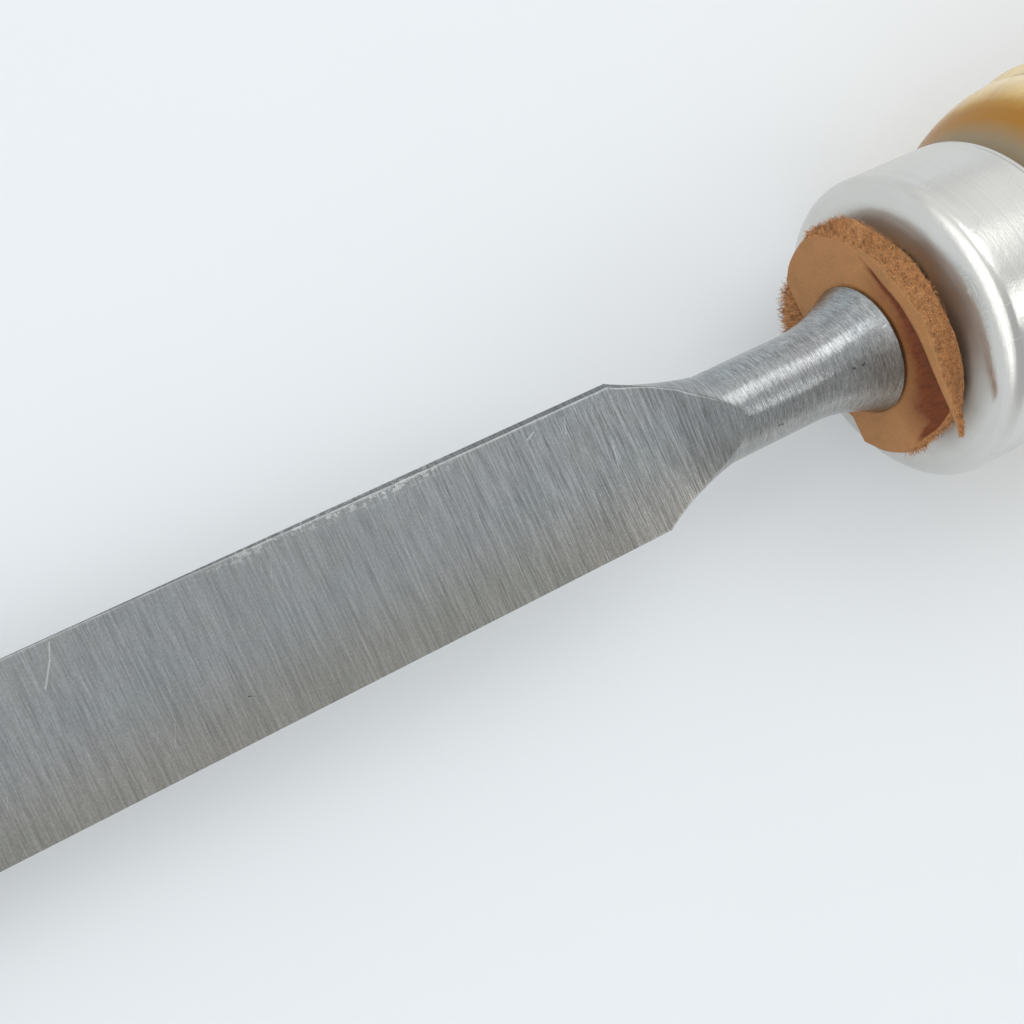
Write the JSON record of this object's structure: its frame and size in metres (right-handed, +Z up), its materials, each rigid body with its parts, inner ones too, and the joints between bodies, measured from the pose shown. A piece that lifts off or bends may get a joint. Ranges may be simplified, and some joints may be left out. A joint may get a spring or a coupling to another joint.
{
  "type": "bench chisel",
  "caption": "Bench chisel lying face up: flat ground steel blade with a bevelled edge, round neck, leather washers, polished ferrule and a turned lacquered wooden handle with a striking hoop.",
  "frame": {"origin": "on the ground under the middle of the box of the chisel as it lies at rest", "axes": "+X from the cutting edge towards the handle, +Z up, the ground face of the blade facing up"},
  "size_m": [0.2526, 0.0322, 0.0375],
  "materials": {
    "ground_steel": "cross-ground steel with fine scratches",
    "tan_leather": "smooth tan leather with a fuzzy cut edge",
    "tan_leather_rear": "tan leather, suede on its cut edge",
    "polished_ferrule": "turned and polished",
    "lacquered_wood": "golden clear lacquer",
    "hoop_metal": "turned, lightly worn"
  },
  "bodies": {
    "root": {"blade_forging": "ground_steel", "front_leather_washer": "tan_leather", "rear_leather_washer": "tan_leather_rear", "ferrule": "polished_ferrule", "handle": "lacquered_wood", "striking_hoop": "hoop_metal"}
  },
  "joints": []
}
